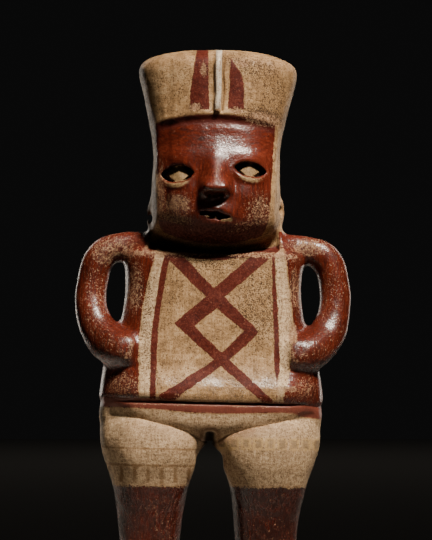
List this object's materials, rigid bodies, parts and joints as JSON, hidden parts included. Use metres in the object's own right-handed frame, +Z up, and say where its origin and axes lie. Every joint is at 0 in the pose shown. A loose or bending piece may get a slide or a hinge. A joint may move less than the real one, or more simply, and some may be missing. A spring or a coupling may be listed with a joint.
{
  "type": "terracotta figure",
  "caption": "Standing hollow terracotta figure with a tall flared headdress and looped arms, painted in cream and burnished red slip, on a low slab.",
  "frame": {"origin": "middle of the low slab's underside", "axes": "+Z up, along the figure's height; the figure looks along -Y; +X is towards its left hand"},
  "size_m": [0.1799, 0.0842, 0.4016],
  "materials": {
    "painted_terracotta": "iron-red slip burnished to a soft shine over buff clay, with matt cream slip and wear"
  },
  "bodies": {
    "root": {"figure": "painted_terracotta"}
  },
  "joints": []
}
